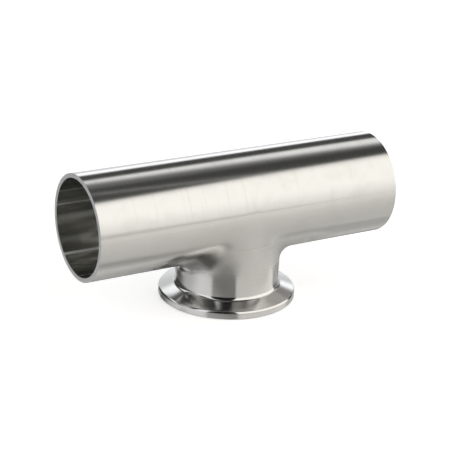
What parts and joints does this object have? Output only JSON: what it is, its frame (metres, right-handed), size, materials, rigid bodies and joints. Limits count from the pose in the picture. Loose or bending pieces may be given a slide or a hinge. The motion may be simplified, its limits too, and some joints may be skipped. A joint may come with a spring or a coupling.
{
  "type": "sanitary weld clamp tee",
  "caption": "Short-outlet hygienic tee in polished stainless steel: a straight tube with two plain weld ends, and an outlet pulled from its wall that ends in a clamp flange.",
  "frame": {"origin": "centre of the clamp face, which is the part's lowest plane, on the axis of the outlet", "axes": "+X along the run, +Z along the outlet from the clamp face up to the run, +Y across both"},
  "size_m": [0.1206, 0.0504, 0.054],
  "materials": {
    "polished_steel": "polished stainless steel: fine satin on the tube and the blend, bright turned finish on the ferrule"
  },
  "bodies": {
    "root": {"clamp_tee": "polished_steel"}
  },
  "joints": []
}
